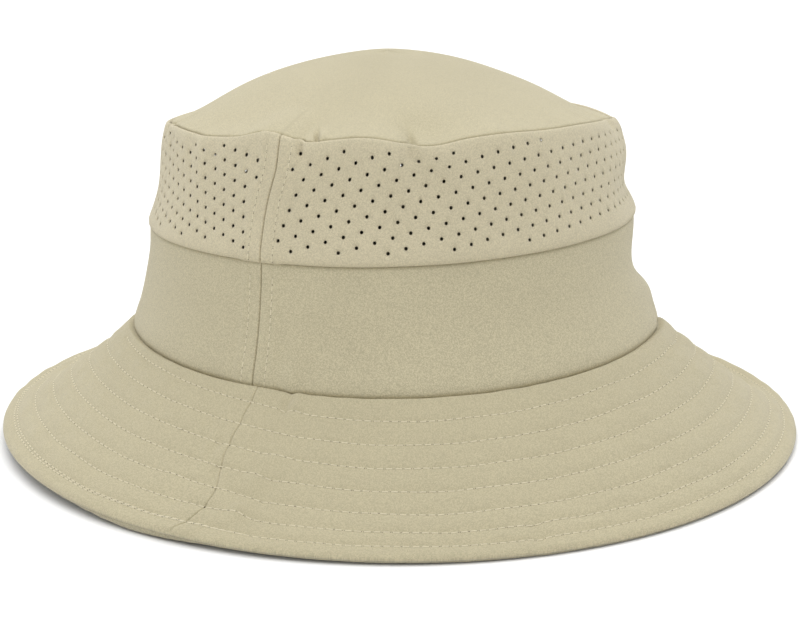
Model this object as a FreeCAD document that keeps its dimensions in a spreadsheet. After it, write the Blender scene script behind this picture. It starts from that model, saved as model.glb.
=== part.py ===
"""Boonie hat with a perforated vent band, as a parametric FreeCAD document.

A soft sun hat sewn from cut panels: a domed crown top, a perforated vent band, a plain side band that
flares to the brim, and a two-ply brim with an interlining, quilted by concentric rows of stitches.
Inside it has a sweatband, seam tapes and a blank care label.

Row frame: +Z up, the brim's edge on Z = 0, the crown's axis on the Z axis, the front towards -Y.
The side seams are at +X (the wearer's left) and -X. Lengths are in millimetres.
"""

import FreeCAD, Part
import Sketcher
import os

V = FreeCAD.Vector
STEP_FOLDER = "parts"

# alias, value, what it is
DIMENSIONS = [
    ("edge_radius", 146.8, "mean radius of the brim's outer edge"),
    ("base_radius", 96.0, "mean radius of the side band where it meets the brim"),
    ("flare_radius", 90.0, "mean radius of the side band at its flare height"),
    ("waist_radius", 86.0, "mean radius of the side band at its top seam"),
    ("hem_radius", 87.2, "mean radius of the vent band's lower edge"),
    ("wall_radius", 82.8, "radius of the vent band just under its shoulder"),
    ("shoulder_radius", 81.4, "radius of the vent band at its shoulder"),
    ("top_radius", 79.0, "radius of the seam between vent band and crown top"),
    ("oval_base", 1.9, "half the oval's length minus breadth, at the brim and the base"),
    ("oval_waist", 1.2, "the same at the waist seam"),
    ("base_height", 36.0, "height of the side band's lower edge"),
    ("flare_height", 53.0, "height of the side band's flare section"),
    ("waist_height", 74.0, "height of the seam between side band and vent band"),
    ("hem_height", 73.0, "height of the vent band's lower edge"),
    ("wall_height", 104.0, "height of the top of the vent band's straight wall"),
    ("shoulder_height", 108.6, "height of the vent band's shoulder"),
    ("top_height", 110.4, "height of the crown top's seam"),
    ("dome_height", 133.6, "height of the crown's highest point"),
    ("dome_curve", 118.0, "radius of the dome's rounded middle"),
    ("dome_share", 0.68, "share of the crown top's radius that the rounded middle takes"),
    ("brim_drop", 34.8, "drop of the brim from its seam to its edge"),
    ("cloth", 0.6, "thickness of a shell panel"),
    ("ply", 0.6, "vertical thickness of a brim ply"),
    ("core", 0.8, "vertical thickness of the brim interlining"),
    ("core_inset", 7.0, "how far the interlining stops short of the brim's edge"),
    ("slack", 0.1, "gap between neighbouring layers"),
    ("tape", 0.3, "thickness of the seam tapes"),
    ("tape_width", 12.0, "width of the side seam tapes"),
    ("ring_tape_width", 9.0, "width of the tapes on the crown and waist seams"),
    ("band_height", 32.0, "height of the sweatband"),
    ("band_thick", 1.2, "thickness of the sweatband"),
    ("label_width", 26.0, "width of the care label"),
    ("label_height", 16.0, "height of the care label"),
    ("thread", 0.4, "thickness of the sewing thread"),
    ("first_row", 7.5, "radial distance from the brim's edge to its first row of stitches"),
    ("row_pitch", 6.6, "radial distance between rows"),
    ("twin_gauge", 3.8, "distance of a topstitch line from its side seam"),
    ("binding_gauge", 3.0, "height of the sweatband's stitches above its lower edge"),
    ("reach", 400.0, "size of the boxes that cut a ring into halves"),
]
BRIM_ROWS = 7
size = {alias: value for alias, value, _ in DIMENSIONS}

doc = FreeCAD.newDocument("boonie_hat")
sheet = doc.addObject("Spreadsheet::Sheet", "sizes")
for row, (alias, value, note) in enumerate(DIMENSIONS, start=1):
    sheet.set(f"A{row}", alias)
    sheet.set(f"B{row}", str(value))
    sheet.setAlias(f"B{row}", alias)
    sheet.set(f"C{row}", note)
doc.recompute()


def sized(text):
    """An expression on the sheet: every alias in text gets its sheet's name."""
    words = text.replace("(", " ( ").replace(")", " ) ").split()
    return " ".join("sizes." + w if w in size else w for w in words)


def oval(name, radius, half_difference, height):
    """An ellipse in a level plane, longer along Y, from three expressions."""
    ring = doc.addObject("Part::Ellipse", name)
    ring.MajorRadius, ring.MinorRadius = 2.0, 1.0
    ring.Placement = FreeCAD.Placement(V(0, 0, 0), FreeCAD.Rotation(V(0, 0, 1), 90))
    ring.setExpression("MajorRadius", sized(f"{radius} + {half_difference}"))
    ring.setExpression("MinorRadius", sized(f"{radius} - {half_difference}"))
    ring.setExpression("Placement.Base.z", sized(height))
    return ring


def loft(name, sections, inset="0", lift="0", ruled=True):
    """A closed solid through ovals (radius, oval, height), each drawn in by inset and raised by lift."""
    solid = doc.addObject("Part::Loft", name)
    solid.Sections = [
        oval(f"{name}_{i}", f"{radius} - ( {inset} )", difference, f"{height} + ( {lift} )")
        for i, (radius, difference, height) in enumerate(sections)
    ]
    solid.Solid = True
    solid.Ruled = ruled
    return solid


def cut(name, base, tool):
    piece = doc.addObject("Part::Cut", name)
    piece.Base, piece.Tool = base, tool
    return piece


def common(name, base, tool):
    piece = doc.addObject("Part::Common", name)
    piece.Base, piece.Tool = base, tool
    return piece


def block(name, length, width, height, x, y, z):
    """A box from expressions for its three sizes and its corner's place."""
    box = doc.addObject("Part::Box", name)
    for prop, text in (
        ("Length", length),
        ("Width", width),
        ("Height", height),
        ("Placement.Base.x", x),
        ("Placement.Base.y", y),
        ("Placement.Base.z", z),
    ):
        box.setExpression(prop, sized(text))
    return box


def shell(name, sections, depth, thickness, ruled=True):
    """A ring of cloth: it lies depth inside the outline that the sections give, and is thickness thick."""
    outside = loft(f"{name}_outside", sections, depth, ruled=ruled)
    inside = loft(f"{name}_inside", sections, f"{depth} + {thickness}", ruled=ruled)
    return cut(f"{name}_ring", outside, inside)


def halves(name, ring):
    """The front and back panels of a ring, which meet at the side seams."""
    for end, start in (("front", "0 - reach"), ("back", "0")):
        box = block(f"{name}_{end}_half", "reach * 2", "reach", "reach * 2",
                    "0 - reach", start, "0 - reach")
        nodes[f"{name}_{end}"] = common(f"{name}_{end}", ring, box)


def slice_of(name, ring, low, high):
    """The stretch of a ring between two heights."""
    box = block(f"{name}_slice", "reach * 2", "reach * 2", f"{high} - ( {low} )",
                "0 - reach", "0 - reach", low)
    return common(name, ring, box)


nodes = {}

# Outlines, from the bottom up, as (radius, half of length minus breadth, height).
SIDE = [
    ("base_radius", "oval_base", "base_height"),
    ("flare_radius", "oval_base", "flare_height"),
    ("waist_radius", "oval_waist", "waist_height"),
]
VENT = [
    ("hem_radius", "oval_waist", "hem_height"),
    ("wall_radius", "0", "wall_height"),
    ("shoulder_radius", "0", "shoulder_height"),
    ("top_radius", "0", "top_height"),
]
BRIM = [
    ("edge_radius", "oval_base", "0"),
    ("base_radius", "oval_base", "brim_drop"),
]


def dome_sketch(body):
    """The crown top's section: an arc over the middle, then a straight skirt down to the rim."""
    peak, thick, curve = size["dome_height"], size["cloth"], size["dome_curve"]
    rim, rise = size["top_radius"] - thick, size["top_height"] + thick
    middle = size["top_radius"] * size["dome_share"]
    foot = peak - curve + (curve**2 - middle**2) ** 0.5
    half_way = peak - curve + (curve**2 - middle**2 / 4) ** 0.5

    def line(x1, y1, x2, y2):
        return Part.LineSegment(V(x1, y1, 0), V(x2, y2, 0))

    def arc(lowered):
        return Part.Arc(V(0, peak - lowered, 0), V(middle / 2, half_way - lowered, 0),
                        V(middle, foot - lowered, 0))

    sketch = body.newObject("Sketcher::SketchObject", "dome_section")
    plane = next(f for f in body.Origin.OriginFeatures if f.Role == "XZ_Plane")
    sketch.AttachmentSupport = [(plane, "")]
    sketch.MapMode = "FlatFace"
    axis, top, skirt, edge, lining, under = range(6)
    sketch.addGeometry([
        line(0, peak - thick, 0, peak),
        arc(0),
        line(middle, foot, rim, rise),
        line(rim, rise, rim, rise - thick),
        line(rim, rise - thick, middle, foot - thick),
        arc(thick),
    ], False)
    top_near, top_far = arc_ends(sketch, top)
    under_near, under_far = arc_ends(sketch, under)
    origin, vertical_axis = -1, -2
    for kind, *where in (
        ("PointOnObject", axis, 1, vertical_axis),
        ("PointOnObject", axis, 2, vertical_axis),
        ("PointOnObject", top, 3, vertical_axis),
        ("PointOnObject", under, 3, vertical_axis),
        ("Coincident", axis, 2, top, top_near),
        ("Coincident", top, top_far, skirt, 1),
        ("Coincident", skirt, 2, edge, 1),
        ("Coincident", edge, 2, lining, 1),
        ("Coincident", lining, 2, under, under_far),
        ("Coincident", under, under_near, axis, 1),
        ("Vertical", edge),
        ("Parallel", skirt, lining),
    ):
        sketch.addConstraint(Sketcher.Constraint(kind, *where))
    for name, text, kind, *where in (
        ("peak", "dome_height", "DistanceY", origin, 1, axis, 2, peak),
        ("cloth", "cloth", "DistanceY", axis, 1, axis, 2, thick),
        ("curve", "dome_curve", "Radius", top, curve),
        ("under_curve", "dome_curve", "Radius", under, curve),
        ("middle", "top_radius * dome_share", "DistanceX", origin, 1, top, top_far, middle),
        ("rim", "top_radius - cloth", "DistanceX", origin, 1, skirt, 2, rim),
        ("rise", "top_height + cloth", "DistanceY", origin, 1, skirt, 2, rise),
        ("edge", "cloth", "DistanceY", edge, 2, edge, 1, thick),
    ):
        index = sketch.addConstraint(Sketcher.Constraint(kind, *where))
        sketch.renameConstraint(index, name)
        sketch.setExpression(f"Constraints.{name}", sized(text))
    return sketch


def arc_ends(sketch, index):
    """The position numbers of an arc's end on the axis and of its other end."""
    near_axis = abs(sketch.getPoint(index, 1).x) < abs(sketch.getPoint(index, 2).x)
    return (1, 2) if near_axis else (2, 1)


def crown_top():
    """The round panel on top, turned about the crown's axis."""
    body = doc.addObject("PartDesign::Body", "crown_top")
    dome = body.newObject("PartDesign::Revolution", "dome")
    dome.Profile = dome_sketch(body)
    dome.ReferenceAxis = (dome.Profile[0], ["V_Axis"])
    dome.Angle = 360.0
    body.Tip = dome
    nodes["crown_top"] = body


def side_panels():
    """The perforated vent band and the plain side band under it, each a front and a back panel."""
    halves("vent_band", shell("vent_band", VENT, "0", "cloth"))
    halves("side_band", shell("side_band", SIDE, "0", "cloth", ruled=False))


def brim_layer(name, low, high):
    """A cone of cloth between two lifts of the brim's outline, open at the head."""
    above = loft(f"{name}_above", BRIM, lift=high)
    below = loft(f"{name}_below", BRIM, lift=low)
    bore_outline = [("base_radius + slack", "oval_base", h) for h in ("0 - reach", "reach")]
    bore = loft(f"{name}_bore", bore_outline)
    return cut(f"{name}_ring", cut(f"{name}_cone", above, below), bore)


def brim():
    """Two plies, each a front and a back panel, with an interlining between them."""
    halves("brim_under", brim_layer("brim_under", "0 - ply", "0"))
    core = brim_layer("brim_interlining", "slack", "slack + core")
    outline = [("edge_radius - core_inset", "oval_base", h) for h in ("0 - reach", "reach")]
    trimmed = common("brim_interlining_trim", core, loft("brim_interlining_edge", outline))
    halves("brim_interlining", trimmed)
    halves("brim_top", brim_layer("brim_top", "slack * 2 + core", "slack * 2 + core + ply"))


def linings():
    """The sweatband and its row of stitches, the tapes over the inside seams and the care label."""
    tape_depth = "cloth + slack"
    side_tape = shell("side_tape", SIDE, tape_depth, "tape", ruled=False)
    vent_tape = shell("vent_tape", VENT, tape_depth, "tape")
    band = shell("sweatband", SIDE, "cloth + slack * 2 + tape", "band_thick", ruled=False)
    foot = "base_height + slack"
    band_top = "base_height + band_height"
    nodes["sweatband"] = slice_of("sweatband", band, foot, band_top)
    nodes["waist_seam_tape"] = slice_of("waist_seam_tape", side_tape,
                                        "waist_height - slack - ring_tape_width / 2",
                                        "waist_height - slack")
    nodes["crown_seam_tape"] = slice_of("crown_seam_tape", vent_tape,
                                        "wall_height - ring_tape_width",
                                        "wall_height - slack")
    for side, start in (("left", "0"), ("right", "0 - reach")):
        for name, ring, low, high in (
            ("side_seam_tape", side_tape, foot, "waist_height - ring_tape_width"),
            ("vent_seam_tape", vent_tape, "waist_height + slack",
             "wall_height - ring_tape_width - slack"),
        ):
            strip = block(f"{name}_{side}_strip", "reach", "tape_width", f"{high} - ( {low} )",
                          start, "0 - tape_width / 2", low)
            nodes[f"{name}_{side}"] = common(f"{name}_{side}", ring, strip)
    seam_thread = shell("sweatband_thread", SIDE, "cloth + slack * 3 + tape + band_thick", "thread",
                        ruled=False)
    nodes["sweatband_stitching"] = slice_of("sweatband_stitching", seam_thread,
                                            "base_height + binding_gauge",
                                            "base_height + binding_gauge + thread")
    label_ring = shell("label", SIDE, "cloth + slack * 3 + tape + band_thick", "tape", ruled=False)
    patch = block("label_patch", "label_width", "reach", "label_height",
                  "0 - label_width / 2", "0", "base_height + band_height / 4")
    nodes["care_label"] = common("care_label", label_ring, patch)


def thread_ring(name, radius, height):
    """One row of thread: a thin six-sided strand swept round an oval."""
    path = oval(f"{name}_path", radius, "oval_base", height)
    section = doc.addObject("Part::RegularPolygon", f"{name}_section")
    section.Polygon = 6
    section.Placement = FreeCAD.Placement(V(0, 0, 0), FreeCAD.Rotation(V(1, 0, 0), 90))
    section.setExpression("Circumradius", sized("thread / 2"))
    section.setExpression("Placement.Base.x", sized(f"{radius} - oval_base"))
    section.setExpression("Placement.Base.z", sized(height))
    row = doc.addObject("Part::Sweep", name)
    row.Sections = [section]
    row.Spine = (path, ["Edge1"])
    row.Solid = True
    row.Frenet = False
    return row


def brim_row(index):
    """A row of quilting stitches that lies on the brim's upper ply, counted from the edge."""
    inward = f"( first_row + row_pitch * {index} )"
    slope = "brim_drop / ( edge_radius - base_radius )"
    surface = f"{inward} * {slope} + slack * 3 + core + ply + thread"
    return thread_ring(f"brim_row_{index}", f"edge_radius - {inward}", surface)


def bundle(name, pieces):
    """Several separate solids in one node."""
    group = doc.addObject("Part::Compound", name)
    group.Links = pieces
    nodes[name] = group


def stitching():
    """The quilting rows of the brim, and the twin lines beside each side seam."""
    bundle("brim_stitching", [brim_row(index) for index in range(BRIM_ROWS)])
    side_skin = shell("side_thread", SIDE, "0 - slack / 2 - thread", "thread", ruled=False)
    vent_skin = shell("vent_thread", VENT, "0 - slack / 2 - thread", "thread")
    runs = (
        ("low", side_skin, "base_height + core * 4", "hem_height - slack"),
        ("high", vent_skin, "hem_height + slack", "wall_height"),
    )
    for side, start in (("left", "0"), ("right", "0 - reach")):
        lines = []
        for place, centre in (("ahead", "0 - twin_gauge"), ("behind", "twin_gauge")):
            for part, skin, low, high in runs:
                name = f"twin_{side}_{place}_{part}"
                line = block(f"{name}_line", "reach", "thread", f"{high} - ( {low} )",
                             start, f"{centre} - thread / 2", low)
                lines.append(common(name, skin, line))
        bundle(f"side_stitching_{side}", lines)


def check():
    """Stops unless every object recomputed and every sub-part is sound."""
    failed = [o.Name for o in doc.Objects if {"Invalid", "Error"} & set(o.State)]
    for name, piece in nodes.items():
        if piece.Shape.isNull() or not piece.Shape.isValid() or not piece.Shape.Solids:
            failed.append(name)
    if failed:
        raise SystemExit(f"these objects failed: {failed}")


def export():
    """Writes each sub-part to its own STEP file, named by its label."""
    os.makedirs(STEP_FOLDER, exist_ok=True)
    for name, piece in nodes.items():
        piece.Label = name
        piece.Shape.exportStep(os.path.join(STEP_FOLDER, f"{piece.Label}.step"))
        volume = sum(s.Volume for s in piece.Shape.Solids)
        print(f"{name}: {len(piece.Shape.Solids)} solids, {volume:.0f} mm3")


crown_top()
side_panels()
brim()
linings()
stitching()
doc.recompute()
check()
export()
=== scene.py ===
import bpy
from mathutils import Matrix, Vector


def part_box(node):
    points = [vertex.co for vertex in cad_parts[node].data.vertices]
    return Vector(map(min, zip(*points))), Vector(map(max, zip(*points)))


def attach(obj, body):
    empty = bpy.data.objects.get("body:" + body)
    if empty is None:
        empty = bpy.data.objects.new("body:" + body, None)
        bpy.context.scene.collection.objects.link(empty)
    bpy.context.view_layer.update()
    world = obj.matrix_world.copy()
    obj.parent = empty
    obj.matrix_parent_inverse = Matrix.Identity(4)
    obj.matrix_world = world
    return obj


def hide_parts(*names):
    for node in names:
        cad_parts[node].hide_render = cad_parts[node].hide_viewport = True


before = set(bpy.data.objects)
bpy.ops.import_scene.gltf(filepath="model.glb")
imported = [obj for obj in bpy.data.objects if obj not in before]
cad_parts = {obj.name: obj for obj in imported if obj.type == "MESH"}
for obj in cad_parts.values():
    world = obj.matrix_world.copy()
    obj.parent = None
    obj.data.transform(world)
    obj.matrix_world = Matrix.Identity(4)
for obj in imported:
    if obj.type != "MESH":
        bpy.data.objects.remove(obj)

"""A khaki boonie hat with a perforated vent band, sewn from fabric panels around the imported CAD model.

Lengths are millimetres until a mesh is made. Angles are degrees about the crown's axis: 0 is the wearer's
left side seam (+X), 90 the back (+Y) and 180 the right side seam. Every panel starts on its CAD outline. The
function settle then gives all layers of the crown the same creases and bulges, and on_brim does so for the
brim.
"""

import math

import bpy
import numpy as np
from mathutils import Matrix, Vector
from mathutils.geometry import delaunay_2d_cdt

MM = 0.001
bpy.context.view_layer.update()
random_numbers = np.random.default_rng(11)


# ---------------------------------------------------------------- sizes, from the frame

def extent(*names):
    """Half breadth (X), half length (Y), lowest and highest Z of some CAD nodes, in millimetres."""
    corners = np.array([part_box(name) for name in names]) / MM
    return corners[:, 1, 0].max(), corners[:, 1, 1].max(), corners[:, 0, 2].min(), corners[:, 1, 2].max()


brim_breadth, brim_length, _, _ = extent("brim_under_front", "brim_under_back")
side_breadth, side_length, BASE_Z, WAIST_Z = extent("side_band_front", "side_band_back")
vent_breadth, vent_length, HEM_Z, _ = extent("vent_band_front", "vent_band_back")
rim_radius, _, RIM_Z, APEX_Z = extent("crown_top")

EDGE_R = (brim_breadth + brim_length) / 2
BASE_R = (side_breadth + side_length) / 2
HEM_R = (vent_breadth + vent_length) / 2
RIM_R = rim_radius
BRIM_WIDTH = math.hypot(EDGE_R - BASE_R, BASE_Z)

# Radii that turn an angle into a distance round the hat, at the middle of each part.
VENT_R = 84.0
SIDE_R = 89.0
SWEAT_R = 88.0
CROWN_R = 82.0
BRIM_R = 118.0
INSIDE_R = 86.0

CLOTH = 0.5
PLY_LIFT = 0.9
CLEARANCE = 1.75
CAMERA_ANGLE = 29.5
SEAMS = (0.0, 180.0)
BACK = 90.0
TWIN_GAUGE = 4.3


# ---------------------------------------------------------------- small mathematics

def bell(x, width):
    return np.exp(-((x / width) ** 2))


def smooth(x):
    x = np.clip(x, 0.0, 1.0)
    return x * x * (3 - 2 * x)


def turn(angle, centre):
    """Signed difference between two angles, in degrees."""
    return (angle - centre + 180.0) % 360.0 - 180.0


def right_side(theta):
    """0 on the camera's left of the hat and 1 on its right, changing smoothly in front and behind."""
    around = turn(theta, CAMERA_ANGLE)
    return smooth(around / 60.0) * smooth((180.0 - around) / 60.0)


def seam_distance(theta, radius):
    """Distance along the circumference to the nearer side seam."""
    nearest = np.minimum(np.abs(turn(theta, SEAMS[0])), np.abs(turn(theta, SEAMS[1])))
    return np.radians(nearest) * radius


class Profile:
    """A meridian: a smooth line through (radius, height) points, measured by its length."""

    def __init__(self, points, rounds=4):
        line = np.array(points, float)
        for _ in range(rounds):
            a, b = line[:-1], line[1:]
            inner = np.stack([a * 0.75 + b * 0.25, a * 0.25 + b * 0.75], 1).reshape(-1, 2)
            line = np.vstack([line[:1], inner, line[-1:]])
        self.line = line
        steps = np.linalg.norm(np.diff(line, axis=0), axis=1)
        self.at = np.concatenate([[0.0], np.cumsum(steps)])
        self.length = self.at[-1]
        slope = np.gradient(line, self.at, axis=0)
        slope /= np.linalg.norm(slope, axis=1)[:, None]
        self.normal = np.stack([slope[:, 1], -slope[:, 0]], 1)

    def point(self, s, lift):
        """Radius and height at distance s along the line, lifted off it to its right."""
        values = []
        for axis in (0, 1):
            place = np.interp(s, self.at, self.line[:, axis])
            values.append(place + np.interp(s, self.at, self.normal[:, axis]) * lift)
        return values


# ---------------------------------------------------------------- how the cloth has settled

# Creases and bulges of the crown: angle, height, half width round the crown in mm, half height in mm,
# push outward in mm.
CROWN_FOLDS = (
    (34.0, 109.0, 2.4, 6.0, -2.6),
    (37.0, 98.0, 4.0, 9.0, -1.1),
    (28.0, 106.0, 5.0, 6.0, 0.9),
    (42.0, 106.0, 4.5, 6.0, 0.9),
    (9.0, 109.5, 1.3, 4.5, -1.8),
    (13.0, 107.0, 3.0, 5.0, 0.8),
    (4.5, 107.0, 2.6, 4.0, 0.5),
    (-43.5, 111.0, 2.0, 4.0, -2.2),
    (-37.0, 106.0, 3.5, 7.0, -0.8),
    (-24.0, 103.0, 3.0, 8.0, -0.7),
    (-15.0, 104.0, 3.0, 8.0, -0.5),
    (-19.5, 104.0, 3.0, 8.0, 0.5),
    (106.5, 111.0, 2.5, 4.0, -2.0),
    (114.0, 108.0, 6.0, 6.0, 1.4),
    (-56.0, 79.0, 30.0, 4.5, -0.5),
    (-60.0, 88.0, 26.0, 9.0, -1.2),
    (-62.0, 66.0, 30.0, 9.0, -0.9),
    (118.0, 79.0, 30.0, 4.5, 0.4),
    (118.0, 57.0, 20.0, 7.5, -5.0),
    (120.0, 66.0, 26.0, 9.0, -1.2),
    (116.0, 83.0, 26.0, 6.0, -1.9),
    (117.0, 97.0, 26.0, 6.0, 1.4),
    (112.0, 48.0, 14.0, 5.0, 1.0),
    (108.0, 38.0, 6.0, 4.0, -1.6),
    (8.5, 39.0, 2.2, 7.0, 1.0),
    (11.5, 40.0, 2.2, 6.0, -0.7),
    (60.0, 56.0, 26.0, 12.0, -0.8),
    (15.0, 57.0, 22.0, 9.0, 0.5),
)
# The same for the brim: angle, distance from its edge in mm, half width, half length, push upward in mm.
BRIM_FOLDS = (
    (8.0, 58.0, 1.6, 4.0, -1.6),
    (10.5, 56.0, 2.6, 5.0, 0.9),
    (-2.0, 36.0, 1.6, 5.0, -0.9),
    (-0.5, 27.0, 1.4, 5.0, -1.0),
    (6.5, 27.0, 5.0, 3.4, 1.5),
    (5.5, 14.0, 5.0, 3.2, 1.7),
    (10.0, 36.0, 5.5, 3.4, 1.1),
    (9.5, 19.0, 2.5, 5.0, -0.5),
    (10.5, 29.0, 2.2, 5.0, -0.5),
    (-6.0, 22.0, 5.0, 3.4, 1.0),
    (46.5, 8.0, 2.0, 6.0, -0.9),
    (50.0, 12.0, 5.0, 6.0, 0.5),
    (105.0, 58.0, 10.0, 9.0, -2.0),
)

# Where the top seam rises or dips: angle, half width in degrees, push upward in mm.
TOP_SEAM_WAVES = (
    (0.5, 6.0, 2.4),
    (10.5, 4.0, -0.6),
    (24.0, 8.0, 1.2),
    (38.0, 8.0, -2.2),
    (60.0, 9.0, 0.5),
    (-20.0, 9.0, -1.0),
)

# The four seams' heights (brim's edge, brim seam, waist seam and top seam), and how each strays from a level
# circle in the worn, softly oval hat: how far it has grown, how oval it is, the angle of its longer axis, how
# far it is raised, how far it bows up in front and behind, how far it rises to the right, and how far it
# drops behind.
SEAM_LEVELS = (0.0, BASE_Z, WAIST_Z, RIM_Z)
SEAM_SHAPES = np.array([
    (1.1, 3.0, 60.0, 0.8, -0.8, -1.5, 0.0),
    (0.6, 2.0, 78.0, 1.3, -2.0, 0.7, 3.4),
    (0.0, 2.5, 140.0, 0.5, -1.0, 0.3, 0.6),
    (0.0, 2.0, 170.0, 2.3, 0.5, -0.2, 0.0),
])


RIPPLE_WAVES = 7


def ripple(theta, height, seed, turns=(3, 19), rise=40.0):
    """Soft, low waves round the hat, in shares of one."""
    numbers = np.random.default_rng(seed)
    total = np.zeros(np.broadcast(theta, height).shape)
    for _ in range(RIPPLE_WAVES):
        waves = numbers.integers(*turns)
        phase, tilt = numbers.uniform(0, 2 * math.pi), numbers.uniform(-1, 1)
        total += np.sin(np.radians(theta) * waves + height / rise * 2 * math.pi * tilt + phase)
    return total / RIPPLE_WAVES


def seam_waves(theta, level):
    """How far the hat strays from a round one with level seams, at a height: outward and upward."""
    grown, oval, axis, raised, bowed, tilted, dropped = SEAM_SHAPES.T
    doubled = np.radians(2 * axis)
    along = np.interp(level, SEAM_LEVELS, oval * np.cos(doubled))
    across = np.interp(level, SEAM_LEVELS, oval * np.sin(doubled))
    spread = np.radians(2 * theta)
    outward = np.interp(level, SEAM_LEVELS, grown) + along * np.cos(spread) + across * np.sin(spread)
    ahead = np.radians(turn(theta, CAMERA_ANGLE))
    upward = np.interp(level, SEAM_LEVELS, raised) + CLEARANCE
    upward = upward + np.interp(level, SEAM_LEVELS, bowed) * np.cos(2 * ahead)
    upward = upward + np.interp(level, SEAM_LEVELS, tilted) * np.sin(ahead)
    behind = smooth((np.abs(ahead) - 1.25) / 0.5) * (0.5 + 1.5 * right_side(theta))
    return outward, upward - np.interp(level, SEAM_LEVELS, dropped) * behind


def settle(theta, radius, height):
    """Where a point of the crown ends up: cylindrical coordinates in, X, Y and Z out."""
    outward, upward = seam_waves(theta, height)
    radius = radius + outward * smooth(radius / 60.0)
    lean = smooth((height - 74.0) / 38.0)
    theta = theta + 4.6 * bell(turn(theta, SEAMS[0]), 26.0) * lean**2
    push = 0.45 * ripple(theta, height, 5) * smooth((height - BASE_Z) / 14.0)
    for centre, level, wide, tall, depth in CROWN_FOLDS:
        across = np.radians(turn(theta, centre)) * CROWN_R
        push = push + depth * bell(across, wide) * bell(height - level, tall)
    on_wall = smooth((radius - 58.0) / 18.0)
    radius = radius + push * on_wall
    rise = smooth((height - 100.0) / 12.0)
    wave = sum(lift * bell(turn(theta, centre), wide) for centre, wide, lift in TOP_SEAM_WAVES)
    height = height + rise * on_wall * wave
    around = turn(theta, CAMERA_ANGLE)
    hollow = 1.4 * right_side(theta) * bell(radius - 46.0, 15.0) * smooth((height - 110.0) / 6.0)
    slump = smooth((height - 100.0) / 10.0) * smooth((np.abs(around) - 50.0) / 60.0)
    slump = (3.4 + 1.8 * right_side(theta)) * slump * bell(radius - 74.0, 16.0)
    height = height - slump + (upward - hollow)
    spread, side = np.radians(theta), math.radians(CAMERA_ANGLE + 90.0)
    sway = -1.3 * smooth((height - 104.0) / 22.0)
    x = radius * np.cos(spread) + sway * math.cos(side)
    y = radius * np.sin(spread) + sway * math.sin(side)
    return np.stack([x, y, height], -1)


def on_crown(profile):
    """A function that places (angle, distance up the meridian, lift) on the crown."""
    def place(theta, s, lift):
        radius, height = profile.point(s, lift)
        return settle(theta, radius, height)
    return place


# ---------------------------------------------------------------- the brim's stitch rows and surface

EDGE_ROW = 5.8
SPIRAL_START = -47.0
SPIRAL_FIRST = BRIM_WIDTH - 3.5
SPIRAL_PITCH = 8.6
SPIRAL_END = (SPIRAL_FIRST - EDGE_ROW) / SPIRAL_PITCH * 360.0
LEFT_SAG = 7.0
RIGHT_SAG = 15.5


def row_wobble(theta, inward):
    """The rows run closer to the edge on the side where the brim is pulled down."""
    fade = smooth((inward - EDGE_ROW) / 14.0)
    return -3.6 * bell(turn(theta, CAMERA_ANGLE), 42.0) * fade


def spiral(progress):
    """Angle and distance from the edge of the quilting thread, by degrees sewn from its start."""
    theta = SPIRAL_START + progress
    inward = SPIRAL_FIRST - SPIRAL_PITCH * progress / 360.0
    return theta, inward + row_wobble(theta, inward)


def row_distance(theta, inward):
    """Distance across the brim to the nearest row of stitches."""
    nearest = np.abs(inward - EDGE_ROW)
    first = turn(theta, SPIRAL_START) % 360.0
    for lap in range(int(SPIRAL_END // 360.0) + 1):
        progress = first + 360.0 * lap
        _, line = spiral(progress)
        gap = np.where(progress <= SPIRAL_END, np.abs(inward - line), 99.0)
        nearest = np.minimum(nearest, gap)
    return nearest


def brim_curve(theta):
    """How the brim's slope bends, by angle: above 1 it sags towards its edge, below 1 it arches."""
    away = turn(theta, CAMERA_ANGLE)
    return 1.06 + 0.16 * bell(away, 50.0) - 0.10 * bell(turn(away, -60.0), 30.0)


def on_brim(theta, inward, lift):
    """Places (angle, distance from the edge up the slope, lift) on the brim."""
    share = inward / BRIM_WIDTH
    bend = brim_curve(theta)
    high = BASE_Z - 1.6
    outward, upward = seam_waves(theta, share * BASE_Z)
    radius = EDGE_R - 0.6 + (BASE_R - EDGE_R + 0.6) * share + outward
    height = high * np.maximum(share, 0.0) ** bend + upward
    climb = high * bend * np.maximum(share, 0.02) ** (bend - 1)
    slope = np.arctan2(climb, EDGE_R - BASE_R)
    push = 0.5 * ripple(theta, inward, 9, turns=(4, 30)) * smooth(share * 6) * smooth((1 - share) * 8)
    behind = smooth((np.abs(turn(theta, CAMERA_ANGLE)) - 80.0) / 26.0)
    sag = (LEFT_SAG + (RIGHT_SAG - LEFT_SAG) * right_side(theta)) * behind
    sag = sag * np.sin(math.pi * np.clip(share, 0.0, 1.0) ** 1.2)
    push = push - np.minimum(sag, 0.75 * height)
    for centre, level, wide, tall, depth in BRIM_FOLDS:
        across = np.radians(turn(theta, centre)) * radius
        push = push + depth * bell(across, wide) * bell(inward - level, tall)
    radius = radius + np.sin(slope) * lift
    height = height + np.cos(slope) * (lift + push)
    near_seam = bell(turn(theta, 1.0), 9.0)
    kink = near_seam * (2.0 + 1.9 * bell(inward - 18.0, 12.0) - 1.2 * bell(inward, 6.0))
    spread = np.radians(theta + kink)
    return np.stack([radius * np.cos(spread), radius * np.sin(spread), height], -1)


def on_core(theta, inward, lift):
    """The brim's interlining lies on its middle surface."""
    return on_brim(theta, inward, lift + 0.25)


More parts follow.
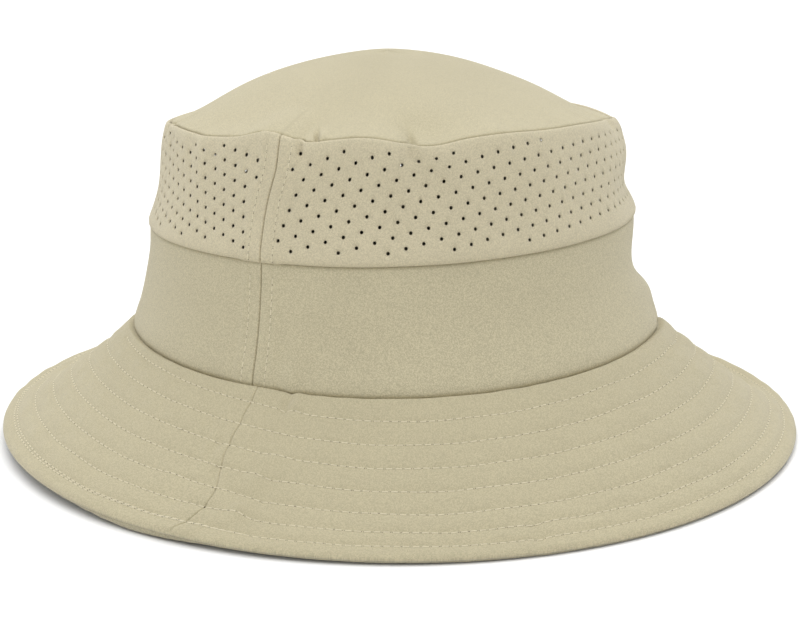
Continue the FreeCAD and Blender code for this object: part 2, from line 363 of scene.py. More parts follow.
def quilted(theta, inward):
    """Height of a ply over its resting place: puffed between the rows, and drawn in at them and at seams."""
    gap = row_distance(theta, inward)
    puff = 0.34 * smooth(gap / 3.4) - 0.24 * bell(gap, 0.7)
    seam = seam_distance(theta, EDGE_R - inward * 0.8)
    ridge = 0.30 * smooth((9.0 - seam) / 3.0) - 0.35 * bell(seam, 0.26)
    crumple = 1.0 + 0.9 * ripple(theta, inward, 21, turns=(20, 70), rise=9.0)
    return puff * crumple + ridge


def brim_top_surface(theta, inward, lift):
    """The upper ply: its outer face wraps round the edge to meet the lower ply."""
    roll = np.sqrt(np.clip(inward / 1.6, 0.0, 1.0))
    crease = 2.6 * smooth((inward - BRIM_WIDTH + 1.1) / 1.5)
    face = (PLY_LIFT + quilted(theta, inward)) * roll - crease
    return on_brim(theta, inward, face + lift)


def brim_under_surface(theta, inward, lift):
    """The lower ply, which starts with a lip that hangs below the upper ply's edge, most near the seam."""
    run = inward + 0.5
    lip = 0.5 + 1.5 * bell(turn(theta, -6.0), 8.0)
    hung = np.clip(run, 0.0, lip)
    beyond = run - hung + 0.3
    roll = np.sqrt(np.clip(beyond / 1.6, 0.0, 1.0))
    face = (PLY_LIFT + 0.6 * quilted(theta, beyond)) * roll
    place = on_brim(theta, beyond, -face - lift)
    place[..., 2] -= hung * bell(beyond, 6.0)
    return place


# ---------------------------------------------------------------- meshes

def new_piece(name, vertices, faces, material, nodes, uv=None):
    """A mesh object in metres, riding on the hat's one body, in place of its CAD nodes."""
    mesh = bpy.data.meshes.new(name)
    mesh.from_pydata((np.asarray(vertices) * MM).tolist(), [], faces)
    if uv is not None:
        layer = mesh.uv_layers.new(name="cloth")
        corner = np.zeros(len(mesh.loops), np.int32)
        mesh.loops.foreach_get("vertex_index", corner)
        layer.data.foreach_set("uv", np.asarray(uv, np.float32)[corner].ravel())
    mesh.polygons.foreach_set("use_smooth", [True] * len(mesh.polygons))
    mesh.materials.append(material)
    piece = bpy.data.objects.new(name, mesh)
    bpy.context.scene.collection.objects.link(piece)
    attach(piece, "root")
    if nodes:
        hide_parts(*nodes)
    return piece


def cloth(name, flat, faces, place, material, nodes, thickness=CLOTH, radius=CROWN_R):
    """A closed sheet: flat holds (angle, distance) for each point, and place puts it in space.

    The weave's coordinates are the flat ones, in millimetres."""
    flat = np.asarray(flat, float)
    outer = place(flat[:, 0], flat[:, 1], 0.0)
    inner = place(flat[:, 0], flat[:, 1], -thickness)
    count = len(flat)
    directed = {}  # edges as keys, because a dictionary keeps their order
    for face in faces:
        for a, b in zip(face, face[1:] + face[:1]):
            directed[(a, b)] = True
    walls = [(b, a, a + count, b + count) for a, b in directed if (b, a) not in directed]
    back = [tuple(v + count for v in reversed(face)) for face in faces]
    weave = np.stack([np.radians(flat[:, 0]) * radius, flat[:, 1]], -1) * MM
    return new_piece(name, np.vstack([outer, inner]), list(faces) + back + walls, material,
                     nodes, np.vstack([weave, weave]))


def grid(across, along):
    """Points and four-sided faces of a rectangle of columns (angles) by rows (distances)."""
    flat = np.stack(np.meshgrid(across, along, indexing="ij"), -1).reshape(-1, 2)
    rows = len(along)
    faces = []
    for i in range(len(across) - 1):
        for j in range(rows - 1):
            a = i * rows + j
            faces.append((a, a + rows, a + rows + 1, a + 1))
    return flat, faces


def closed_grid(across, along):
    """A grid whose last column joins its first: across leaves out the angle that repeats."""
    flat, faces = grid(across, along)
    rows, columns = len(along), len(across)
    for j in range(rows - 1):
        a = (columns - 1) * rows + j
        faces.append((a, j, j + 1, a + 1))
    return flat, faces


def stations(start, end, radius, fine=0.3, coarse=1.8, reach=10.0):
    """Angles from seam to seam, close together beside the seams."""
    length = math.radians(end - start) * radius
    near = np.concatenate([[0.0, 0.1, 0.2, 0.32, 0.5, 0.8, 1.1], np.arange(1.5, reach, fine * 2)])
    middle = np.linspace(reach, length - reach, int((length - 2 * reach) / coarse))
    steps = np.concatenate([near, middle, length - near[::-1]])
    return start + np.degrees(steps / radius)


def seam_relief(theta, radius):
    """Lift of a crown panel by its side seams: a ridge over the seam allowance and a groove at the seam."""
    seam = seam_distance(theta, radius)
    ridge = 0.35 * smooth((8.5 - seam) / 2.5) - 0.6 * bell(seam, 0.22)
    return ridge - 0.16 * bell(seam - TWIN_GAUGE, 0.5)


# ---------------------------------------------------------------- materials

def fabric(name, colour, weave=0.28, grain=0.16, mottle=0.04, rough=0.88, bump=0.5):
    """Plain-woven cloth of mixed yarns: each crossing has a slightly different shade, with fine relief.

    weave is the distance between threads in mm. grain and mottle are how much the shade varies from thread
    to thread and from place to place."""
    material = bpy.data.materials.new(name)
    material.use_nodes = True
    tree = material.node_tree
    nodes, links = tree.nodes, tree.links
    shader = nodes["Principled BSDF"]
    shader.inputs["Roughness"].default_value = rough
    shader.inputs["Sheen Weight"].default_value = 0.2
    shader.inputs["Sheen Roughness"].default_value = 0.5
    shader.inputs["Specular IOR Level"].default_value = 0.25

    def maths(operation, a, b):
        made = nodes.new("ShaderNodeMath")
        made.operation = operation
        for socket, value in zip(made.inputs, (a, b)):
            if isinstance(value, (int, float)):
                socket.default_value = value
            else:
                links.new(value, socket)
        return made.outputs[0]

    flat = nodes.new("ShaderNodeUVMap")
    flat.uv_map = "cloth"
    threads = nodes.new("ShaderNodeMapping")
    pitch = 1.0 / (weave * MM)
    threads.inputs["Scale"].default_value = (pitch, pitch, 1.0)
    links.new(flat.outputs[0], threads.inputs["Vector"])
    split = nodes.new("ShaderNodeSeparateXYZ")
    links.new(threads.outputs[0], split.inputs[0])
    waves = [maths("SINE", maths("MULTIPLY", split.outputs[axis], 2 * math.pi), 0.0) for axis in (0, 1)]
    crossing = maths("MULTIPLY", waves[0], waves[1])
    cell = nodes.new("ShaderNodeVectorMath")
    cell.operation = "FLOOR"
    links.new(threads.outputs[0], cell.inputs[0])
    yarn = nodes.new("ShaderNodeTexWhiteNoise")
    links.new(cell.outputs[0], yarn.inputs["Vector"])
    place = nodes.new("ShaderNodeTexCoord")
    cloud = nodes.new("ShaderNodeTexNoise")
    cloud.inputs["Scale"].default_value = 45.0
    cloud.inputs["Detail"].default_value = 3.0
    links.new(place.outputs["Object"], cloud.inputs["Vector"])
    yarn_shade = maths("MULTIPLY", maths("SUBTRACT", yarn.outputs["Value"], 0.5), 2 * grain)
    patch_shade = maths("MULTIPLY", maths("SUBTRACT", cloud.outputs["Fac"], 0.5), 2 * mottle)
    shade = maths("ADD", yarn_shade, patch_shade)
    shade = maths("ADD", shade, maths("MULTIPLY", crossing, 0.04))
    level = maths("ADD", shade, 1.0)
    tinted = nodes.new("ShaderNodeVectorMath")
    tinted.operation = "SCALE"
    tinted.inputs[0].default_value = colour
    links.new(level, tinted.inputs["Scale"])
    links.new(tinted.outputs[0], shader.inputs["Base Color"])
    relief = maths("ADD", crossing, maths("MULTIPLY", yarn.outputs["Value"], 1.5))
    raised = nodes.new("ShaderNodeBump")
    raised.inputs["Strength"].default_value = bump
    raised.inputs["Distance"].default_value = 0.00006
    links.new(relief, raised.inputs["Height"])
    links.new(raised.outputs["Normal"], shader.inputs["Normal"])
    return material


def plain(name, colour, rough=0.9, grain=900.0):
    """Thread, felt or other fibrous stuff: a speckled colour and a fine grain."""
    material = bpy.data.materials.new(name)
    material.use_nodes = True
    nodes, links = material.node_tree.nodes, material.node_tree.links
    shader = nodes["Principled BSDF"]
    shader.inputs["Roughness"].default_value = rough
    shader.inputs["Sheen Weight"].default_value = 0.2
    place = nodes.new("ShaderNodeTexCoord")
    noise = nodes.new("ShaderNodeTexNoise")
    noise.inputs["Scale"].default_value = grain
    links.new(place.outputs["Object"], noise.inputs["Vector"])
    ramp = nodes.new("ShaderNodeValToRGB")
    ramp.color_ramp.elements[0].color = (*[c * 0.82 for c in colour], 1)
    ramp.color_ramp.elements[1].color = (*[min(c * 1.12, 1.0) for c in colour], 1)
    links.new(noise.outputs["Fac"], ramp.inputs["Fac"])
    links.new(ramp.outputs["Color"], shader.inputs["Base Color"])
    bump = nodes.new("ShaderNodeBump")
    bump.inputs["Strength"].default_value = 0.4
    bump.inputs["Distance"].default_value = 0.0001
    links.new(noise.outputs["Fac"], bump.inputs["Height"])
    links.new(bump.outputs["Normal"], shader.inputs["Normal"])
    return material


def thread(name, colour, hole):
    """Sewing thread: pale along each stitch, with painted shade at both ends where it goes down into the
    cloth.
    """
    material = plain(name, colour, rough=0.7)
    nodes, links = material.node_tree.nodes, material.node_tree.links
    shader = nodes["Principled BSDF"]
    fibre = shader.inputs["Base Color"].links[0].from_socket
    flat = nodes.new("ShaderNodeUVMap")
    flat.uv_map = "cloth"
    split = nodes.new("ShaderNodeSeparateXYZ")
    links.new(flat.outputs[0], split.inputs[0])
    # Painted shade: near both ends of each stitch the colour turns to the dark needle-hole shade.
    ends = nodes.new("ShaderNodeValToRGB")
    ends.color_ramp.elements[0].position = 0.06
    ends.color_ramp.elements[0].color = (1, 1, 1, 1)
    ends.color_ramp.elements[1].position = 0.94
    ends.color_ramp.elements[1].color = (1, 1, 1, 1)
    for place in (0.14, 0.86):
        ends.color_ramp.elements.new(place).color = (0, 0, 0, 1)
    links.new(split.outputs[0], ends.inputs["Fac"])
    mix = nodes.new("ShaderNodeMix")
    mix.data_type = "RGBA"
    links.new(ends.outputs["Color"], mix.inputs["Factor"])
    links.new(fibre, mix.inputs["A"])
    mix.inputs["B"].default_value = (*hole, 1)
    links.new(mix.outputs["Result"], shader.inputs["Base Color"])
    return material


shell_cloth = fabric("shell_cloth", (0.510, 0.458, 0.306), grain=0.12)
band_cloth = fabric("band_cloth", (0.510, 0.460, 0.312), grain=0.16)
brim_cloth = fabric("brim_cloth", (0.482, 0.432, 0.288), grain=0.13)
vent_cloth = fabric("vent_cloth", (0.562, 0.504, 0.352), grain=0.12)
# The lower ply is the brim's khaki with painted shade: coloured darker than the top ply, for its shaded
# underside.
painted_shade_under_cloth = fabric("painted_shade_under_cloth", (0.40, 0.362, 0.245))
sweat_cloth = fabric("sweat_cloth", (0.36, 0.325, 0.225), weave=0.55, bump=0.9)
tape_cloth = fabric("tape_cloth", (0.40, 0.36, 0.25), weave=0.45, bump=0.8)
label_cloth = fabric("label_cloth", (0.80, 0.79, 0.74), weave=0.25, grain=0.04, rough=0.6)
core_felt = plain("core_felt", (0.75, 0.74, 0.69))
# The last colour is painted shade for the needle holes at the ends of each stitch.
thread_stuff = thread("thread_stuff", (0.68, 0.62, 0.45), (0.04, 0.03, 0.015))


# ---------------------------------------------------------------- panels

HALVES = {"back": (0.0, 180.0), "front": (180.0, 360.0)}
GAP = 0.03

side_profile = Profile([
    (BASE_R - 2.6, BASE_Z - 2.9), (BASE_R - 0.6, BASE_Z - 2.5), (BASE_R - 0.1, BASE_Z - 1.7),
    (BASE_R - 0.5, BASE_Z + 1.6),
    (BASE_R - 3.6, BASE_Z + 9.0), (BASE_R - 6.4, BASE_Z + 18.0), (HEM_R + 0.6, BASE_Z + 28.0),
    (HEM_R - 0.4, WAIST_Z - 1.8), (HEM_R - 0.7, WAIST_Z + 0.1), (HEM_R - 1.3, WAIST_Z + 0.5),
    (HEM_R - 2.6, WAIST_Z + 0.6),
], rounds=3)
vent_profile = Profile([
    (HEM_R - 2.4, HEM_Z + 1.4), (HEM_R - 0.3, HEM_Z + 1.3), (HEM_R + 0.2, HEM_Z + 1.7),
    (HEM_R + 0.1, HEM_Z + 3.0),
    (HEM_R - 0.7, HEM_Z + 6.0), (HEM_R - 3.0, HEM_Z + 13.0), (HEM_R - 4.4, HEM_Z + 22.0),
    (HEM_R - 5.2, RIM_Z - 7.0), (RIM_R + 2.8, RIM_Z - 2.4), (RIM_R + 2.0, RIM_Z + 0.3),
    (RIM_R + 0.6, RIM_Z + 0.7), (RIM_R + 0.1, RIM_Z - 1.5),
], rounds=3)


def dome_points():
    """The crown top's meridian, from the middle to the rim and in under it."""
    curve, share = 140.0, 0.66
    middle, top = RIM_R * share, APEX_Z - 2.4
    radii = np.linspace(0.0, middle, 7)
    points = [(r, top - curve + math.sqrt(curve**2 - r * r)) for r in radii]
    foot = points[-1][1]
    for part in (0.35, 0.7):
        points.append((middle + (RIM_R - middle) * part, foot + (RIM_Z + 0.2 - foot) * part))
    points += [(RIM_R - 1.2, RIM_Z + 1.3), (RIM_R + 0.1, RIM_Z + 0.6), (RIM_R - 0.5, RIM_Z - 1.4)]
    return points


dome_profile = Profile(dome_points()[::-1], rounds=3)


def with_relief(place, radius):
    """place, with the relief of the side seams."""
    def lifted(theta, s, lift):
        return place(theta, s, lift + seam_relief(theta, radius))
    return lifted


def crown_bands():
    for half, (start, end) in HALVES.items():
        across = stations(start, end, 88.0)
        across[0] += GAP
        across[-1] -= GAP
        along = np.linspace(0, side_profile.length, 44)
        flat, faces = grid(across, along)
        place = with_relief(on_crown(side_profile), SIDE_R)
        piece = cloth(f"side_band_{half}", flat, faces, place, band_cloth,
                      [f"side_band_{half}"], radius=90.0)


HOLE_RADIUS = 0.58
HOLE_SIDES = 10
HOLE_FIELD = (6.2, 37.2)
SEAM_MARGIN = 5.9
# The leaning lattice of holes in each panel, in mm from the left side seam and up from the hem: one hole,
# the step up a column and the step to the next column.
HOLE_LATTICE = {
    "back": ((68.4, 20.3), (1.8, 4.5), (5.7, 1.0)),
    "front": ((-26.4, 21.1), (-1.1, 4.6), (3.3, 3.3)),
}


def hole_centres(length, half):
    """A lattice of holes over a panel of some length, clear of its seams.

    The band narrows upward, so its flat panel is cut on an arc. The lattice is straight in that panel."""
    first, up, over = np.array(HOLE_LATTICE[half])
    if half == "front":
        first = first + (length, 0.0)
    arc = HEM_R * vent_profile.length / (HEM_R - RIM_R)
    centres = []
    reach = int(length / 3.0)
    for i in range(-reach, reach):
        for j in range(-reach, reach):
            x, y = first + up * i + over * j
            beside, below = x - first[0], arc - y
            u = first[0] + math.atan2(beside, below) * arc
            v = arc - math.hypot(beside, below)
            if SEAM_MARGIN < u < length - SEAM_MARGIN and HOLE_FIELD[0] < v < HOLE_FIELD[1]:
                centres.append((u, v))
    return centres


def perforated(across, along, holes, radius, start):
    """Triangles of a rectangle with round holes, as (angle, distance) points and faces."""
    points = [(u, along[0]) for u in across] + [(across[-1], v) for v in along[1:]]
    points += [(u, along[-1]) for u in across[-2::-1]] + [(across[0], v) for v in along[-2:0:-1]]
    edges = [(i, (i + 1) % len(points)) for i in range(len(points))]
    centres = np.array(holes)
    for u in across[1:-1]:
        for v in along[1:-1]:
            if np.min((centres[:, 0] - u) ** 2 + (centres[:, 1] - v) ** 2) > 1.15**2:
                points.append((u, v))
    for u, v in holes:
        first = len(points)
        for k in range(HOLE_SIDES):
            angle = 2 * math.pi * k / HOLE_SIDES
            points.append((u + HOLE_RADIUS * math.cos(angle), v + HOLE_RADIUS * math.sin(angle)))
        edges += [(first + k, first + (k + 1) % HOLE_SIDES) for k in range(HOLE_SIDES)]
    verts, _, faces, *_ = delaunay_2d_cdt([Vector(p) for p in points], edges, [], 0, 1e-5)
    verts = np.array(verts)
    kept = []
    for face in faces:
        middle = verts[list(face)].mean(0)
        if np.min(np.sum((centres - middle) ** 2, 1)) > (HOLE_RADIUS * 0.93) ** 2:
            kept.append(tuple(face))
    flat = np.stack([start + np.degrees(verts[:, 0] / radius), verts[:, 1]], -1)
    return flat, kept


def vent_bands():
    for half, (start, end) in HALVES.items():
        length = math.radians(end - start) * VENT_R
        across = np.radians(stations(start, end, VENT_R, fine=0.35, coarse=1.3) - start) * VENT_R
        across[0] += GAP
        across[-1] -= GAP
        ends = np.array([0.0, 0.5, 1.0, 1.6, 2.4])
        middle = np.linspace(3.6, vent_profile.length - 4.5, 21)
        along = np.concatenate([ends, middle, vent_profile.length - np.linspace(3.4, 0.0, 9)])
        flat, faces = perforated(across, along, hole_centres(length, half), VENT_R, start)
        place = with_relief(on_crown(vent_profile), VENT_R)
        piece = cloth(f"vent_band_{half}", flat, faces, place, vent_cloth,
                      [f"vent_band_{half}"], thickness=0.35, radius=VENT_R)


PINCHES = (8.0, 34.0)
PINCH_R = 74.0


def crown_top():
    pinches = [centre + np.linspace(-3.0, 3.0, 25) for centre in PINCHES]
    columns = np.unique(np.concatenate([np.arange(0, 360, 0.75), *pinches]).round(3))
    along = np.concatenate([np.linspace(0, 6.0, 15), np.linspace(6.8, dome_profile.length - 0.3, 46)])
    flat, faces = closed_grid(columns, along)
    middle = len(flat)
    rows = len(along)
    flat = np.vstack([flat, [0.0, dome_profile.length]])
    for i in range(len(columns)):
        a, b = i * rows + rows - 1, ((i + 1) % len(columns)) * rows + rows - 1
        faces.append((a, b, middle))
    place = on_crown(dome_profile)

    def pinched(theta, s, lift):
        slant = np.radians(turn(theta, 8.4 - 0.25 * (s - 3.0))) * PINCH_R
        near_rim = bell(s - 4.0, 4.0)
        pinch = -2.5 * bell(slant, 0.8) * near_rim + 0.8 * bell(slant - 2.2, 1.6) * near_rim
        across = np.radians(turn(theta, PINCHES[1])) * PINCH_R
        pinch = pinch - 1.7 * bell(across, 1.4) * bell(s - 2.0, 5.0)
        pucker = 0.35 * ripple(theta, s, 31, turns=(14, 60), rise=60.0) * bell(s - 3.0, 9.0)
        return place(theta, s, lift + pinch + pucker)

    piece = cloth("crown_top", flat, faces, pinched, shell_cloth, ["crown_top"])


BRIM_GRID_R = 125.0


def brim():
    width = BRIM_WIDTH + 2.4
    rows_fine = np.concatenate([[0.0, 0.08, 0.25, 0.5, 0.8, 1.2], np.arange(1.7, width, 0.62), [width]])
    rows_plain = np.concatenate([[-0.5, -0.4, -0.2, 0.1, 0.5, 1.0], np.arange(1.6, width, 0.8), [width]])
    for half, (start, end) in HALVES.items():
        across = stations(start, end, BRIM_GRID_R, fine=0.4, coarse=1.45, reach=12.0)
        across[0] += GAP / 4
        across[-1] -= GAP / 4
        for layer, rows, place, stuff in (
            ("top", rows_fine, brim_top_surface, brim_cloth),
            ("under", rows_plain, brim_under_surface, painted_shade_under_cloth),
        ):
            points, faces = grid(across, rows)
            if layer == "under":
                faces = [tuple(reversed(face)) for face in faces]
            piece = cloth(f"brim_{layer}_{half}", points, faces, place, stuff,
                          [f"brim_{layer}_{half}"], thickness=0.4, radius=BRIM_R)


def brim_core():
    """The interlining, which stops short of the brim's edge."""
    inset = brim_breadth - extent("brim_interlining_front", "brim_interlining_back")[0]
    for half, (start, end) in HALVES.items():
        across = stations(start, end, BRIM_GRID_R, fine=1.0, coarse=2.5, reach=12.0)
        across[0] += GAP * 4
        across[-1] -= GAP * 4
        along = np.linspace(inset, BRIM_WIDTH - 1.5, 30)
        points, faces = grid(across, along)
        piece = cloth(f"brim_interlining_{half}", points, faces, on_core, core_felt,
                      [f"brim_interlining_{half}"], radius=BRIM_R)


SWEAT_TOP = extent("sweatband")[3]
sweat_profile = Profile([
    (BASE_R - 2.3, BASE_Z + 0.5), (BASE_R - 1.9, BASE_Z + 1.0), (BASE_R - 2.3, BASE_Z + 3.0),
    (BASE_R - 5.3, BASE_Z + 10.0), (BASE_R - 8.3, BASE_Z + 18.0), (HEM_R - 1.9, BASE_Z + 25.0),
    (HEM_R - 3.0, SWEAT_TOP - 1.2), (HEM_R - 3.6, SWEAT_TOP),
], rounds=3)


def sweatband():
    """One strip that starts and ends at the back, with its lower edge stitched to the brim seam."""
    columns = np.linspace(BACK + 0.05, BACK + 360.0 - 0.05, 360)
    columns = np.concatenate([[columns[0], columns[0] + 0.12, columns[0] + 0.4], columns[1:-1],
                              [columns[-1] - 0.4, columns[-1] - 0.12, columns[-1]]])
    along = np.concatenate([[0, 0.3, 0.7, 1.2], np.linspace(2.0, sweat_profile.length - 1.2, 26),
                            sweat_profile.length - np.array([0.8, 0.4, 0.0])])
    flat, faces = grid(columns, along)

    def place(theta, s, lift):
        join = np.radians(np.abs(turn(theta, BACK))) * INSIDE_R
        tucked = 0.45 * bell(s - 3.4, 0.8) + 0.9 * bell(join, 0.7) - 0.3 * smooth((6.0 - join) / 2.0)
        edge = 0.35 * (bell(s, 0.5) + bell(s - sweat_profile.length, 0.5))
        swell = 0.35 * ripple(theta, s, 17, turns=(5, 26)) * smooth(s / 12.0)
        inner = np.where(lift < 0, 1.0, 0.0)
        swell = swell + inner * (tucked + edge) - edge * (1 - inner)
        return on_crown(sweat_profile)(theta, s, lift + swell)

    piece = cloth("sweatband", flat, faces, place, sweat_cloth, ["sweatband"],
                  thickness=1.2, radius=SWEAT_R)
    return place


TAPE_INSET = 0.8


def ring_tape(name, profile, low, high, depth, seed):
    """A tape round the inside of a crown seam. What isn't seen of its width is caught in the seam."""
    columns = np.arange(0, 360, 2.0)
    along = np.concatenate([[low, low + 0.3], np.linspace(low + 1, high - 1, 6), [high - 0.3, high]])
    flat, faces = closed_grid(columns, along)
    base = on_crown(profile)

    def place(theta, s, lift):
        middle = bell(s - (low + high) / 2, (high - low) / 3)
        swell = 0.25 * middle * (1.0 + ripple(theta, s, seed, turns=(20, 60)))
        return base(theta, s, lift - depth - swell)

    piece = cloth(name, flat, faces, place, tape_cloth, [name], thickness=0.35)


def seam_tape(name, profile, side, low, high, depth):
    """A tape down the inside of a side seam."""
    centre = SEAMS[0] if side == "left" else SEAMS[1]
    low_corner, high_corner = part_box(name)
    half = (high_corner.y - low_corner.y) / MM / 2 - TAPE_INSET
    wide = math.degrees(half / INSIDE_R)
    across = centre + np.linspace(-wide, wide, 13)
    flat, faces = grid(across, np.linspace(low, high, 16))
    base = on_crown(profile)

    def place(theta, s, lift):
        middle = bell(np.radians(turn(theta, centre)) * INSIDE_R, 2.0)
        return base(theta, s, lift - depth - 0.3 * middle)

    piece = cloth(name, flat, faces, place, tape_cloth, [name], thickness=0.35)


def tapes():
    vent_end, side_end = vent_profile.length, side_profile.length
    ring_tape("crown_seam_tape", vent_profile, vent_end - 5.6, vent_end - 0.6, 0.9, 41)
    ring_tape("waist_seam_tape", side_profile, side_end - 12.0, side_end - 4.5, 0.9, 43)
    for side in ("left", "right"):
        seam_tape(f"vent_seam_tape_{side}", vent_profile, side, 3.5, vent_end - 8.0, 0.8)
        seam_tape(f"side_seam_tape_{side}", side_profile, side, 4.0, side_end - 13.0, 0.8)


def care_label(band_place):
    """A blank folded label, caught under the sweatband's stitches at the back."""
    low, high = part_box("care_label")
    half = math.degrees((high.x - low.x) / MM / 2 / SWEAT_R)
    tall = (high.z - low.z) / MM
    centre = BACK + 4.0
    flat, faces = grid(centre + np.linspace(-half, half, 15), np.linspace(3.0, 3.0 + tall, 12))

    def place(theta, s, lift):
        free = smooth((s - 4.5) / tall)
        curl = 1.2 * free**2 + 0.5 * free * np.sin(np.radians(turn(theta, centre)) * SWEAT_R / 6.0)
        return band_place(theta, s, lift - 1.75 - curl)

    piece = cloth("care_label", flat, faces, place, label_cloth, ["care_label"],
                  thickness=0.3, radius=SWEAT_R)


# ---------------------------------------------------------------- stitches

STITCH = 2.9
NEEDLE_GAP = 0.20
THREAD_RADIUS = 0.20


def stitches(name, paths, nodes, pitch=STITCH):
    """Rows of single stitches. Each path gives points and outward normals, in sewing order, close together.

    A stitch rises out of its needle hole, lies on the cloth and goes down into the next."""
    sides = 6
    t = np.array([0.0, 0.10, 0.20, 0.50, 0.80, 0.90, 1.0])
    stations_along = len(t)
    rise = np.sin(np.pi * t) ** 0.4
    lifts = -0.12 + 0.20 * rise
    widths = THREAD_RADIUS * (0.7 + 0.3 * rise)
    around = np.linspace(0, 2 * math.pi, sides, endpoint=False)
    vertices, faces, count, marks = [], [], 0, []
    for points, normals in paths:
        steps = np.linalg.norm(np.diff(points, axis=0), axis=1)
        at = np.concatenate([[0.0], np.cumsum(steps)])
        number = int(at[-1] / pitch)
        starts = np.arange(number) * pitch + random_numbers.uniform(-0.12, 0.12, number)
        places = starts[:, None] + t[None] * (pitch - NEEDLE_GAP)
        centre = np.stack([np.interp(places, at, points[:, k]) for k in range(3)], -1)
        normal = np.stack([np.interp(places, at, normals[:, k]) for k in range(3)], -1)
        normal /= np.linalg.norm(normal, axis=-1, keepdims=True)
        along = np.gradient(centre, axis=1)
        along /= np.linalg.norm(along, axis=-1, keepdims=True)
        across = np.cross(along, normal)
        slant = random_numbers.uniform(-0.10, 0.10, number)[:, None, None] * (t - 0.5)[None, :, None]
        centre = centre + normal * lifts[None, :, None] + across * slant
        rings = centre[:, :, None] + widths[None, :, None, None] * (
            across[:, :, None] * np.cos(around)[None, None, :, None]
            + normal[:, :, None] * np.sin(around)[None, None, :, None]
        )
        vertices.append(rings.reshape(-1, 3))
        marks.append(np.tile(np.repeat(t, sides), number))
        one = stations_along * sides
        for k in range(number):
            base = count + k * one
            for i in range(stations_along - 1):
                for j in range(sides):
                    a, b = base + i * sides + j, base + i * sides + (j + 1) % sides
                    faces.append((a, b, b + sides, a + sides))
            faces.append(tuple(base + j for j in reversed(range(sides))))
            faces.append(tuple(base + one - sides + j for j in range(sides)))
        count += number * one
    along = np.concatenate(marks)
    new_piece(name, np.vstack(vertices), faces, thread_stuff, nodes,
              np.stack([along, along * 0.0], -1))


def path_on(surface, theta, s):
    """Points and outward normals of a line on a surface."""
    low, high = surface(theta, s, 0.0), surface(theta, s, 0.5)
    normal = high - low
    return low, normal / np.linalg.norm(normal, axis=1)[:, None]


def brim_rows(surface):
    """The spiral and the row round the edge."""
    progress = np.linspace(0.0, SPIRAL_END, int(SPIRAL_END * 1.2))
    theta, inward = spiral(progress)
    ring_theta = np.linspace(0, 360, 500)
    return [path_on(surface, theta, inward), path_on(surface, ring_theta, np.full(500, EDGE_ROW))]


def stitching(band_place):
    stitches("brim_stitching_top", brim_rows(brim_top_surface), ["brim_stitching"])
    stitches("brim_stitching_under", brim_rows(brim_under_surface), ["brim_stitching"])
    side = with_relief(on_crown(side_profile), SIDE_R)
    vent = with_relief(on_crown(vent_profile), VENT_R)
    for name, seam in (("left", SEAMS[0]), ("right", SEAMS[1])):
        lines = []
        for direction in (-1, 1):
            for surface, radius, low, high in (
                (side, SIDE_R, 3.0, side_profile.length - 4.0),
                (vent, VENT_R, 2.6, vent_profile.length - 4.0),
            ):
                s = np.linspace(low, high, 60)
                theta = np.full(60, seam + direction * math.degrees(TWIN_GAUGE / radius))
                lines.append(path_on(surface, theta, s))
        stitches(f"side_stitching_{name}", lines, [f"side_stitching_{name}"], pitch=2.6)

    def inner_face(theta, s, lift):
        return band_place(theta, s, -1.2 - lift)

    theta = np.linspace(BACK + 1.0, BACK + 359.0, 500)
    stitches("sweatband_stitching", [path_on(inner_face, theta, np.full(500, 3.4))],
             ["sweatband_stitching"])


crown_bands()
vent_bands()
crown_top()
brim()
brim_core()
band_surface = sweatband()
tapes()
care_label(band_surface)
stitching(band_surface)


# ---------------------------------------------------------------- camera, light and floor

LENS_MM = 77.38
CAMERA_AWAY, CAMERA_ASIDE, CAMERA_HIGH = 0.620, 0.0018, 0.1975
CAMERA_TILT = 14.77
CAMERA_ROLL = -0.86
WORLD_LIGHT = 0.715


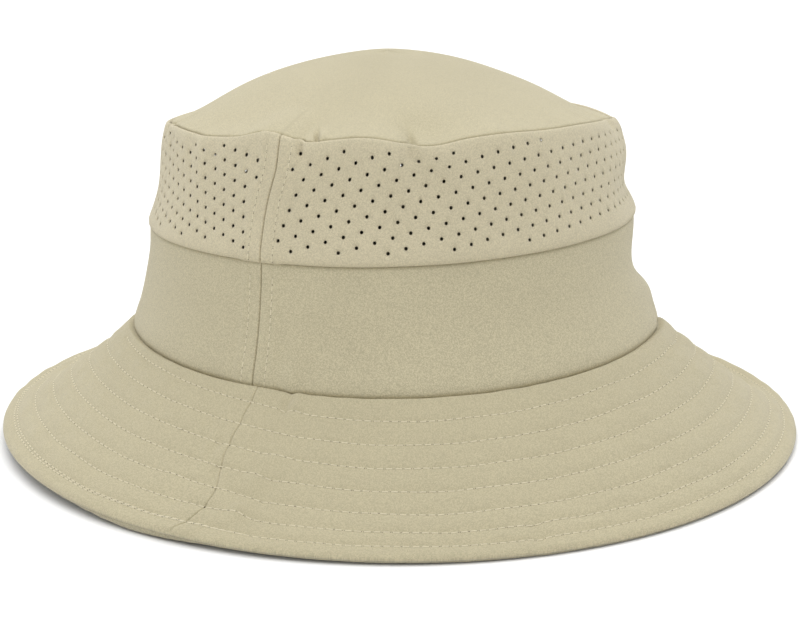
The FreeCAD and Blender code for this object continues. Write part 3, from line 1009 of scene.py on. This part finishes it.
def camera():
    """Stands off the wearer's left side, a little behind it, looking slightly down."""
    data = bpy.data.cameras.new("camera")
    data.sensor_width = 36.0
    data.lens = LENS_MM
    data.clip_start, data.clip_end = 0.05, 20.0
    seat = bpy.data.objects.new("camera", data)
    bpy.context.scene.collection.objects.link(seat)
    bpy.context.scene.camera = seat
    angle = math.radians(CAMERA_ANGLE)
    towards = Vector((math.cos(angle), math.sin(angle), 0.0))
    right = Vector((-math.sin(angle), math.cos(angle), 0.0))
    seat.location = towards * CAMERA_AWAY + right * CAMERA_ASIDE
    seat.location.z = CAMERA_HIGH + CLEARANCE * MM
    pitch, roll = math.radians(90.0 - CAMERA_TILT), math.radians(CAMERA_ROLL)
    aim = Matrix.Rotation(angle + math.pi / 2, 4, "Z") @ Matrix.Rotation(pitch, 4, "X")
    seat.rotation_euler = (aim @ Matrix.Rotation(roll, 4, "Z")).to_euler()


def softbox(name, place, aim, size, power):
    data = bpy.data.lights.new(name, "AREA")
    data.energy = power
    data.size = size
    lamp = bpy.data.objects.new(name, data)
    bpy.context.scene.collection.objects.link(lamp)
    lamp.location = place
    lamp.rotation_euler = (Vector(place) - Vector(aim)).to_track_quat("Z", "Y").to_euler()


def studio():
    world = bpy.data.worlds.new("studio")
    world.use_nodes = True
    world.node_tree.nodes["Background"].inputs["Color"].default_value = (1, 1, 1, 1)
    world.node_tree.nodes["Background"].inputs["Strength"].default_value = WORLD_LIGHT
    bpy.context.scene.world = world
    mesh = bpy.data.meshes.new("floor")
    half = 12.0
    mesh.from_pydata([(-half, -half, 0), (half, -half, 0), (half, half, 0), (-half, half, 0)], [],
                     [(0, 1, 2, 3)])
    floor = bpy.data.objects.new("floor", mesh)
    bpy.context.scene.collection.objects.link(floor)
    paper = bpy.data.materials.new("white_paper")
    paper.use_nodes = True
    paper.node_tree.nodes["Principled BSDF"].inputs["Base Color"].default_value = (0.93, 0.93, 0.93, 1)
    paper.node_tree.nodes["Principled BSDF"].inputs["Roughness"].default_value = 0.9
    mesh.materials.append(paper)
    softbox("overhead", (0.0, 0.0, 2.6), (0, 0, 0), 3.2, 52.0)
    for name, away, distance, height, size, power in (
        ("left", -60.0, 1.2, 0.8, 0.9, 1.2),
        ("right", 60.0, 1.2, 0.8, 0.9, 0.3),
        ("behind", 180.0, 3.0, 2.4, 3.0, 30.0),
    ):
        angle = math.radians(CAMERA_ANGLE + away)
        spot = (distance * math.cos(angle), distance * math.sin(angle), height)
        target = (0, 0, 0.05) if name != "behind" else (spot[0], spot[1], 0)
        softbox(name, spot, target, size, power)
    bpy.context.scene.view_settings.view_transform = "Standard"


camera()
studio()
